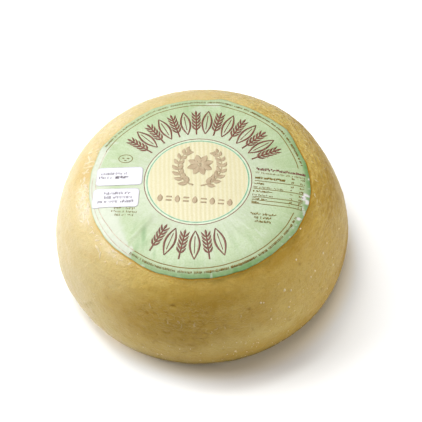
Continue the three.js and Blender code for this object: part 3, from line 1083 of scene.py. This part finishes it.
def drawEmblem(ink):
    # two leafy sprigs curving up round a broad rosette
    heart = np.array([0, sprigs["rosetteHeight"]])
    pairs = sprigs["pairs"]
    t = np.linspace(0, 1, 3 * pairs + 2)
    bow = np.radians(sprigs["start"] + sprigs["sweep"] * t)
    for side in (-1, 1):
        stem = np.column_stack([side * sprigs["wide"] * np.cos(bow),
                                sprigs["height"] + sprigs["tall"] * np.sin(bow)])
        ink.addStroke(stem, sprigs["stemWidth"] - 0.5 * t)
        for k in range(pairs):
            # the last pair sits a little further back, clear of the tip
            spot = stem[min(3 * k + 3, 3 * pairs - 1)]
            along = stem[3 * k + 4] - stem[3 * k + 2]
            heading = math.atan2(along[1], along[0])
            for turn, length in sprigs["pair"]:
                size = length * (1.0 - 0.04 * k)
                tip = spot + size * np.array([math.cos(heading + turn), math.sin(heading + turn)])
                ink.addLeaf(spot, tip, sprigs["leafWidth"] - 0.12 * k, bow=0.35 * np.sign(turn), across=3)
    foot, tip = sprigs["petal"]
    for k in range(sprigs["petals"]):
        out = np.array(ahead((k + 0.5) * 360 / sprigs["petals"]))
        ink.addLeaf(heart + foot * out, heart + tip * out, sprigs["petalWidth"], across=4)
    ink.addOval(heart, 0.6, 0.6, 1.2, 9)


def drawLozengeRow(ink):
    # lozenges and paired bars in a row under the sprigs
    reach = lozenges["barHalf"]
    for k in range(lozenges["count"]):
        x = lozenges["first"] + k * lozenges["pitch"]
        if k % 2 == 0:
            ink.addLeaf((x, lozenges["foot"]), (x, lozenges["tip"]), lozenges["width"], across=3)
            continue
        for y in lozenges["barHeights"]:
            ink.addBar(x - reach, x + reach, y, lozenges["barWidth"])


def rgb(red, green, blue):
    # a colour picked on screen, 0 to 255, as the linear values a shader takes
    def linear(channel):
        c = channel / 255
        return c / 12.92 if c <= 0.04045 else ((c + 0.055) / 1.055) ** 2.4
    return (linear(red), linear(green), linear(blue), 1.0)


class Finish:
    # one material: short ways to wire its nodes, and a colour laid on coat by coat
    def __init__(self, name, middle=(0, 0, 0)):
        self.material = bpy.data.materials.new(name)
        self.material.use_nodes = True
        self.tree = self.material.node_tree
        self.shader = self.tree.nodes["Principled BSDF"]
        self.coords = self.place(middle=middle)
        self.colour = None

    def add(self, kind, sockets, output=0, **settings):
        # one node; its sockets are given by number or name
        node = self.tree.nodes.new("ShaderNode" + kind)
        for name, value in settings.items():
            setattr(node, name, value)
        for socket, value in sockets.items():
            self.plug(value, node.inputs[socket])
        return node.outputs[output]

    def plug(self, value, socket):
        if isinstance(value, bpy.types.NodeSocket):
            self.tree.links.new(value, socket)
        else:
            socket.default_value = value

    def math(self, operation, *values):
        return self.add("Math", dict(enumerate(values)), operation=operation)

    def plus(self, a, b):
        return self.math("ADD", a, b)

    def times(self, a, b):
        return self.math("MULTIPLY", a, b)

    def scaled(self, value, by, offset):
        return self.math("MULTIPLY_ADD", value, by, offset)

    def vector(self, operation, *values, output="Vector"):
        return self.add("VectorMath", dict(enumerate(values)), output, operation=operation)

    def ramp(self, value, low, high, lowValue=0.0, highValue=1.0):
        ends = dict(enumerate((value, low, high, lowValue, highValue)))
        return self.add("MapRange", ends, interpolation_type="SMOOTHSTEP")

    def mix(self, share, a, b):
        return self.add("Mix", {0: share, 6: a, 7: b}, 2, data_type="RGBA")

    def between(self, share, a, b):
        return self.add("Mix", {0: share, 2: a, 3: b})

    def coat(self, share, colour):
        # one more coat over the colour so far
        self.colour = self.mix(share, self.colour, colour)

    def place(self, stretch=(1, 1, 1), middle=(0, 0, 0)):
        # the piece's own coordinates in millimetres about a middle point, stretched
        own = self.add("TexCoord", {}, "Object")
        move = [-m * s for m, s in zip(middle, stretch)]
        return self.add("Mapping", {"Vector": own, "Scale": [s / mm for s in stretch], "Location": move})

    def noise(self, size, detail=2.0, rough=0.5, coords=None):
        sockets = {"Vector": self.coords if coords is None else coords, "Scale": 1 / size}
        return self.add("TexNoise", {**sockets, "Detail": detail, "Roughness": rough}, "Fac")

    def lines(self, size, width, coords):
        # thin winding lines, 1 along the middle of each
        off = self.math("ABSOLUTE", self.math("SUBTRACT", self.noise(size, coords=coords), 0.5))
        return self.ramp(off, 0, width, 1, 0)

    def value(self, name):
        return self.add("Attribute", {}, "Fac", attribute_name=name)

    def bump(self, height, relief, strength):
        # relief is in millimetres
        facing = self.add("Bump", {"Distance": relief * mm, "Strength": strength, "Height": height})
        self.plug(facing, self.shader.inputs["Normal"])

    def close(self, **sockets):
        # joins the colour and sets what is the same all over
        self.plug(self.colour, self.shader.inputs["Base Color"])
        for name, value in sockets.items():
            self.plug(value, self.shader.inputs[name.replace("_", " ")])
        return self.material


# tones of the rind, each on the moist, shaded front and on the dry, lit back; the step between the two is
# partly the skin's own and partly painted light and shade
rindColours = {
    "straw": (rgb(171, 143, 61), rgb(186, 171, 125)),
    "bloomedAndLit": (rgb(180, 158, 89), rgb(190, 176, 138)),
    "deep": (rgb(150, 119, 34), rgb(180, 150, 84)),
    "cloudy": (rgb(190, 166, 96), rgb(206, 190, 150)),
    "amber": (rgb(152, 120, 36), rgb(188, 160, 102)),
    "grain": (rgb(134, 102, 28), rgb(176, 146, 90)),
    "streak": (rgb(198, 176, 108), rgb(210, 194, 150)),
    "scratch": (rgb(126, 94, 26), rgb(150, 120, 64)),
    "glint": (rgb(206, 186, 122), rgb(216, 202, 160)),
    "margin": (rgb(144, 105, 0), rgb(192, 156, 74)),
    # and those that are the same all round
    "film": rgb(195, 187, 154),
    # painted highlights on the film's ridges and on the raised threads, over paler dried skin
    "ridge": rgb(226, 214, 194),
    "thread": rgb(226, 210, 184),
    "pinHole": rgb(124, 88, 18),
    # painted shade: the band under the paper's edge and the darkened foot
    "seam": rgb(112, 94, 28),
    "foot": rgb(80, 67, 12),
}


def makeRindMaterial():
    look = Finish("waxy_rind")
    grainy, moist, film = look.value("grainy"), look.value("moist"), look.value("film")
    deep, creased, footShade = look.value("deep"), look.value("creased"), look.value("footShade")
    mottle = look.noise(7, 4, 0.6)
    grain = look.noise(1.3, 3, 0.6)
    # paler at the left and back, deeper at the front and right: partly the skin, dried at the back and moist
    # at the front, and partly painted light on the lit left and painted shade on the front
    sideways = look.vector("DOT_PRODUCT", look.coords, (-0.9, 0.43, 0), output="Value")
    dryAndLit = look.ramp(look.plus(sideways, look.times(look.noise(34, 3, 0.55), 30)), -20, 100)

    def tone(name):
        return look.mix(dryAndLit, *rindColours[name])

    look.colour = tone("straw")
    # paler bloomed places, partly painted light
    look.coat(look.value("bloomAndLit"), tone("bloomedAndLit"))
    # deeper places, partly painted shade under the paper's edge and at the foot
    look.coat(deep, tone("deep"))
    # cloudy and amber mottling, then grain and faint level streaks
    look.coat(look.ramp(mottle, 0.45, 0.72, 0, 0.18), tone("cloudy"))
    look.coat(look.ramp(look.noise(11, 3, 0.6), 0.5, 0.7, 0, 0.22), tone("amber"))
    look.coat(look.times(look.ramp(grain, 0.48, 0.75), look.scaled(grainy, 0.45, 0.18)), tone("grain"))
    level = look.noise(2.8, 4, 0.65, look.place((0.22, 0.22, 1)))
    look.coat(look.times(look.ramp(level, 0.52, 0.74), look.scaled(grainy, 0.18, 0.12)), tone("streak"))
    # fine scratchy creases, dark lines and pale ones, running level where the rind is grainy
    short, long = (0.6, 0.6, 1), (0.2, 0.2, 1)
    scratches = look.between(grainy, look.lines(2.3, 0.07, look.place(short)),
                             look.lines(2.0, 0.075, look.place(long)))
    glints = look.between(grainy, look.lines(2.3, 0.05, look.place(short, (0, 0, 0.5))),
                          look.lines(2.4, 0.075, look.place(long, (20, 0, 0))))
    look.coat(look.times(look.times(scratches, creased), 0.42), tone("scratch"))
    look.coat(look.times(look.times(glints, creased), 0.3), tone("glint"))
    # the crinkled film of paler skin drawn into whitish ridges, and raised threads paler still: the ridges
    # and threads carry painted highlights
    ridges = look.times(look.lines(2.6, 0.11, look.place((1, 0.6, 1))), film)
    look.coat(look.times(film, 0.62), rindColours["film"])
    look.coat(look.times(ridges, 0.36), rindColours["ridge"])
    look.coat(look.value("veins"), rindColours["thread"])
    # brown in the pin holes, a browner band of painted shade under the paper's edge, and a thin moist margin
    # beside it
    look.coat(look.value("brown"), rindColours["pinHole"])
    look.coat(look.times(look.value("seamShade"), 0.8), rindColours["seam"])
    narrow = look.ramp(look.value("seamDistance"), 0.5, 1.6, 1, 0)
    look.coat(look.times(narrow, look.scaled(moist, 0.85, 0.1)), tone("margin"))
    # painted shade: the lowest 3 cm at the front and right are darkened where the floor's contact shadow
    # falls
    look.coat(look.times(footShade, 0.92), rindColours["foot"])
    dull = look.times(look.plus(deep, footShade), 0.26)
    # knobbly and fine grain, smoother under the film, with the scratches and the film's ridges on top
    fine = look.plus(look.times(look.noise(2.6), 1.6), look.plus(grain, look.noise(0.6)))
    fine = look.times(fine, look.scaled(film, -0.6, 1.0))
    scored = look.times(look.math("SUBTRACT", glints, scratches), creased)
    fine = look.plus(look.scaled(scored, 0.6, fine), look.times(ridges, 0.3))
    look.bump(fine, 0.22, 0.95)
    roughness = look.plus(look.ramp(mottle, 0.3, 0.7, 0.34, 0.48), dull)
    return look.close(Roughness=roughness, Subsurface_Weight=0.2, Subsurface_Radius=(1.0, 0.55, 0.2),
                      Subsurface_Scale=0.004, IOR=1.45, Specular_IOR_Level=0.27)


paperColours = {
    "green": (rgb(152, 168, 130), rgb(162, 177, 143)),
    "ray": rgb(184, 193, 174),
    "fibre": rgb(134, 154, 110),
    "rubbedAndSheen": rgb(202, 199, 199),
    "wetAndShaded": rgb(97, 135, 80),
    "cream": (rgb(187, 180, 144), rgb(191, 186, 155)),
    "creamFibre": rgb(174, 165, 128),
}


def makePaperMaterial():
    look = Finish("printed_green_paper", (*printing["centre"], 0))
    # bearings wrapped on a drum, for shading that runs in rays from the middle
    flat = look.vector("MULTIPLY", look.coords, (1, 1, 0))
    drum = look.vector("MULTIPLY", look.vector("NORMALIZE", flat), (40, 40, 40))
    outward = look.add("CombineXYZ", {2: look.times(look.vector("LENGTH", flat, output="Value"), 0.08)})
    ray = look.noise(1.1, 3, 0.6, look.vector("ADD", drum, outward))
    fibre = look.noise(1.1, 3, 0.65)
    look.colour = look.mix(look.ramp(look.noise(22, 3), 0.35, 0.65), *paperColours["green"])
    # pale rays, partly painted sheen on the radial wrinkles
    look.coat(look.ramp(ray, 0.5, 0.75, 0, 0.25), paperColours["ray"])
    look.coat(look.ramp(fibre, 0.42, 0.7, 0, 0.45), paperColours["fibre"])
    # rubbed white, and painted sheen on the left
    look.coat(look.value("rubbedAndSheen"), paperColours["rubbedAndSheen"])
    # damp patches with painted shade beside the creases and on the rim
    look.coat(look.value("wetAndShaded"), paperColours["wetAndShaded"])
    look.bump(look.plus(look.times(fibre, 1.4), ray), 0.12, 0.6)
    return look.close(Roughness=0.42, Specular_IOR_Level=0.4)


def makeCreamMaterial():
    # the cream field in the middle, its ribs a shade deeper than the furrows between them: painted light and
    # shade of the fine ribs
    look = Finish("printed_cream_paper", (*printing["centre"], 0))
    across = look.vector("DOT_PRODUCT", look.coords, (1, 0.14, 0), output="Value")
    wander = look.times(look.noise(14, 1), 3.0)
    rib = look.math("SINE", look.scaled(across, 2 * math.pi / paper["ribStep"], wander))
    fibre = look.noise(1.1, 3, 0.6)
    look.colour = look.mix(look.ramp(rib, -1, 1), *paperColours["cream"])
    look.coat(look.ramp(fibre, 0.45, 0.7, 0, 0.3), paperColours["creamFibre"])
    look.bump(fibre, 0.1, 0.6)
    return look.close(Roughness=0.42, Specular_IOR_Level=0.4)


# flat colours that took a little unevenly: two tones, size of the patches, roughness
inks = {
    "brown_ink": ((96, 52, 38), (112, 68, 52), 3, 0.5),
    "olive_brown_ink": ((100, 79, 10), (116, 95, 24), 3, 0.5),
    "teal_ink": ((90, 140, 110), (112, 156, 128), 3, 0.5),
    "tan_ink": ((150, 131, 102), (162, 145, 116), 6, 0.5),
    "pale_ink": ((172, 184, 156), (182, 193, 170), 3, 0.5),
    "faded_and_sheen_brown_ink": ((158, 142, 124), (178, 168, 150), 3, 0.5),
    "grey_ink": ((72, 66, 72), (118, 112, 118), 1.2, 0.5),
    "white_sticker_paper": ((190, 189, 196), (195, 194, 201), 8, 0.4),
    "dried_whey": ((216, 196, 156), (196, 180, 144), 5, 0.6),
}


def makeInk(name):
    tone, other, size, roughness = inks[name]
    look = Finish(name)
    look.colour = look.mix(look.ramp(look.noise(size, 3, 0.6), 0.35, 0.65), rgb(*tone), rgb(*other))
    look.bump(look.noise(0.8), 0.02, 0.4)
    return look.close(Roughness=roughness)


rindMaterial = makeRindMaterial()
dress(rindSkin, rindMaterial, "rind", "cheese_wheel")
dress(rindCreases, rindMaterial, "rind")
dress(wheyCrumbs, makeInk("dried_whey"), "rind")

brownInk, oliveInk = makeInk("brown_ink"), makeInk("olive_brown_ink")
sheetMaterials = {
    "green": makePaperMaterial(), "cream": makeCreamMaterial(), "pale": makeInk("pale_ink"),
    "teal": makeInk("teal_ink"), "brown": brownInk, "olive": oliveInk, "fadedAndSheen": makeInk("faded_and_sheen_brown_ink"),
}
for material in sheetMaterials.values():
    labelPaper.data.materials.append(material)
order = list(sheetMaterials)
labelPaper.data.polygons.foreach_set("material_index", [order.index(colour) for colour in faceColours])
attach(labelPaper, "root")
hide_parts("paper_label")

dice = np.random.default_rng(5)
frieze = Ink("print_leaf_frieze", lift=0.07)
drawFrieze(frieze, printing["upperFrieze"], True)
drawFrieze(frieze, printing["lowerFrieze"], False)
small = Ink("print_small_marks", lift=0.06)
for ring in printing["tickRings"]:
    drawTickRing(small, *ring)
small.turned(drawTable, block["turn"], block["shift"])
frieze.turned(drawTitle, block["turn"], block["shift"])
drawMark(small, (-50, 14.8), wide=4.6, tall=3.4)
for y, *reach in printing["leftRows"]:
    drawTicks(small, *reach, y, 1.6, 0.4)
for y, *reach in printing["rightRows"]:
    drawTicks(small, *reach, y, 1.8, 0.66)
small.lay(oliveInk)
frieze.lay(brownInk)
emblem = Ink("print_sprig_emblem", lift=0.08)
drawEmblem(emblem)
drawLozengeRow(emblem)
emblem.lay(makeInk("tan_ink"))
print("print laid on the paper")


stickers = {
    "size": (30.5, 14.8),
    "corner": 2.5,
    "thickness": 0.1,
    "lift": 0.16,
    "grid": (25, 45),         # rows and columns of points
    "tickHeight": 2.2,
    # node: centre and turn, then its rows of ticks: foot, from, to, weight
    "places": {
        "sticker_upper": ((-51, -6.4), 4.3, [
            (1.4, -12.4, 5, 0.42), (-1.9, -13.4, -5.2, 0.42), (-1.9, -2.6, 6.2, 0.76)]),
        "sticker_lower": ((-50.9, -23.8), 3.9, [
            (2.6, -7.8, 9.4, 0.42), (-0.7, -7.4, 10.6, 0.44), (-3.9, -11.4, 1.3, 0.4),
            (-3.9, 3.4, 12.4, 0.5)]),
    },
}


def buildSticker(node, centre, turn, material):
    # a grid of points squeezed into a rectangle with round corners, then laid on the paper
    half = np.array(stickers["size"]) / 2
    corner = stickers["corner"]
    rows, columns = stickers["grid"]
    u, v = np.meshgrid(np.linspace(-1, 1, columns), np.linspace(-1, 1, rows))
    x, y = u * half[0], v * half[1]
    # the ends of each row and column are pulled in along the corner's arc
    overX = np.maximum(np.abs(x) - (half[0] - corner), 0) / corner
    overY = np.maximum(np.abs(y) - (half[1] - corner), 0) / corner
    far = np.maximum(np.hypot(overX, overY), 1e-9)
    pull = np.where((overX > 0) & (overY > 0), np.maximum(overX, overY) / far, 1)
    x = np.sign(x) * (np.minimum(np.abs(x), half[0] - corner) + overX * corner * pull)
    y = np.sign(y) * (np.minimum(np.abs(y), half[1] - corner) + overY * corner * pull)
    c, s = ahead(turn)
    spotX = (centre[0] + x * c - y * s).ravel()
    spotY = (centre[1] + x * s + y * c).ravel()
    points = restOnPaper(spotX, spotY, stickers["lift"])
    piece = makeMesh(node + "_paper", points, gridQuads(0, rows, columns, flip=True))
    thicken(piece, stickers["thickness"], 1)
    dress(piece, material, "sticker_paper", node)


whitePaper = makeInk("white_sticker_paper")
stickerPrint = Ink("sticker_marks", stickers["lift"] + stickers["thickness"] + 0.04)
for node, (centre, turn, rows) in stickers["places"].items():
    buildSticker(node, centre, turn, whitePaper)
    shift = np.subtract(centre, printing["centre"])
    for y, *reach, weight in rows:
        stickerPrint.turned(lambda pen: drawTicks(pen, *reach, y, stickers["tickHeight"], weight),
                            turn, shift)
stickerPrint.lay(makeInk("grey_ink"), "sticker_paper")
print("stickers laid")


studio = {
    "azimuth": 9.6,           # the camera stands a little to the right of the label's foot
    "elevation": 53.4,
    "roll": -3.71,
    "distance": 0.9,
    "lens": 109.6,
    "aim": (0.004, 0.0173, 0.028),
    "floorSize": 3.0,
    # tones of the floor: close to the foot, further out, and the coat where the shadow falls
    "floorTones": ((1.0, 0.905, 0.74, 1), (0.94, 0.946, 0.95, 1), (0.2, 0.09, 0, 1)),
    "lampSize": 0.7,
    "lampDistance": 1.1,
    "fillTint": (1, 0.955, 0.88),   # light thrown back warm by the room
    # round softboxes: bearing about the wheel, height in degrees, watts
    "softboxes": {
        "left_softbox": (183, 35, 9.6),
        "back_left_softbox": (134, 61, 8.5),
        "overhead_softbox": (0, 90, 6.2),
        "right_fill": (0, 12, 5.2),
        "front_right_fill": (315, 12, 1.6),
        "front_fill": (286, 56, 1.7),
    },
}


def makeFloor():
    far = studio["floorSize"]
    mesh = bpy.data.meshes.new("floor")
    mesh.from_pydata([(-far, -far, 0), (far, -far, 0), (far, far, 0), (-far, far, 0)], [], [(0, 1, 2, 3)])
    look = Finish("pale_floor")
    near, beyond, shaded = studio["floorTones"]

    def distanceFrom(x, y):
        return look.vector("LENGTH", look.place((1, 1, 0), (x, y, 0)), output="Value")

    # warmer close to the foot, where the wheel colours the light, and deeper where the shadow falls
    reach = distanceFrom(7.5, -2.7)
    look.colour = look.mix(look.ramp(reach, 90, 103), near, beyond)
    band = look.times(look.ramp(reach, 88, 98, 0.3, 1), look.ramp(reach, 101, 113, 1, 0.1))
    patch = look.times(band, look.ramp(distanceFrom(52, -91), 15, 75, 1, 0))
    look.coat(look.times(patch, 0.25), shaded)
    mesh.materials.append(look.close(Roughness=0.9))
    addToScene("floor", mesh)


def addSoftbox(name, bearing, height, power):
    light = bpy.data.lights.new(name, "AREA")
    light.shape = "DISK"
    light.size = studio["lampSize"]
    light.energy = power
    light.color = studio["fillTint"] if "fill" in name else (1, 1, 1)
    (x, y), (level, rise) = ahead(bearing), ahead(height)
    toward = Vector((x * level, y * level, rise))
    lamp = addToScene(name, light)
    lamp.location = toward * studio["lampDistance"] + Vector((0, 0, 0.03))
    lamp.rotation_euler = (-toward).to_track_quat("-Z", "Y").to_euler()


def aimCamera():
    (x, y), (level, rise), (c, s) = (ahead(studio[name]) for name in ("azimuth", "elevation", "roll"))
    back = Vector((y * level, -x * level, rise))
    right = Vector((x, y, 0))
    up = back.cross(right)
    data = bpy.data.cameras.new("camera")
    data.lens = studio["lens"]
    data.sensor_width = 36
    camera = addToScene("camera", data)
    axes = Matrix((right * c + up * s, up * c - right * s, back)).transposed().to_4x4()
    camera.matrix_world = Matrix.Translation(Vector(studio["aim"]) + back * studio["distance"]) @ axes
    bpy.context.scene.camera = camera


makeFloor()
aimCamera()
for name, (bearing, height, power) in studio["softboxes"].items():
    addSoftbox(name, bearing, height, power)
world = bpy.data.worlds.new("studio")
world.use_nodes = True
world.node_tree.nodes["Background"].inputs["Strength"].default_value = 0.0
bpy.context.scene.world = world
bpy.context.scene.view_settings.view_transform = "Standard"
print("studio ready")
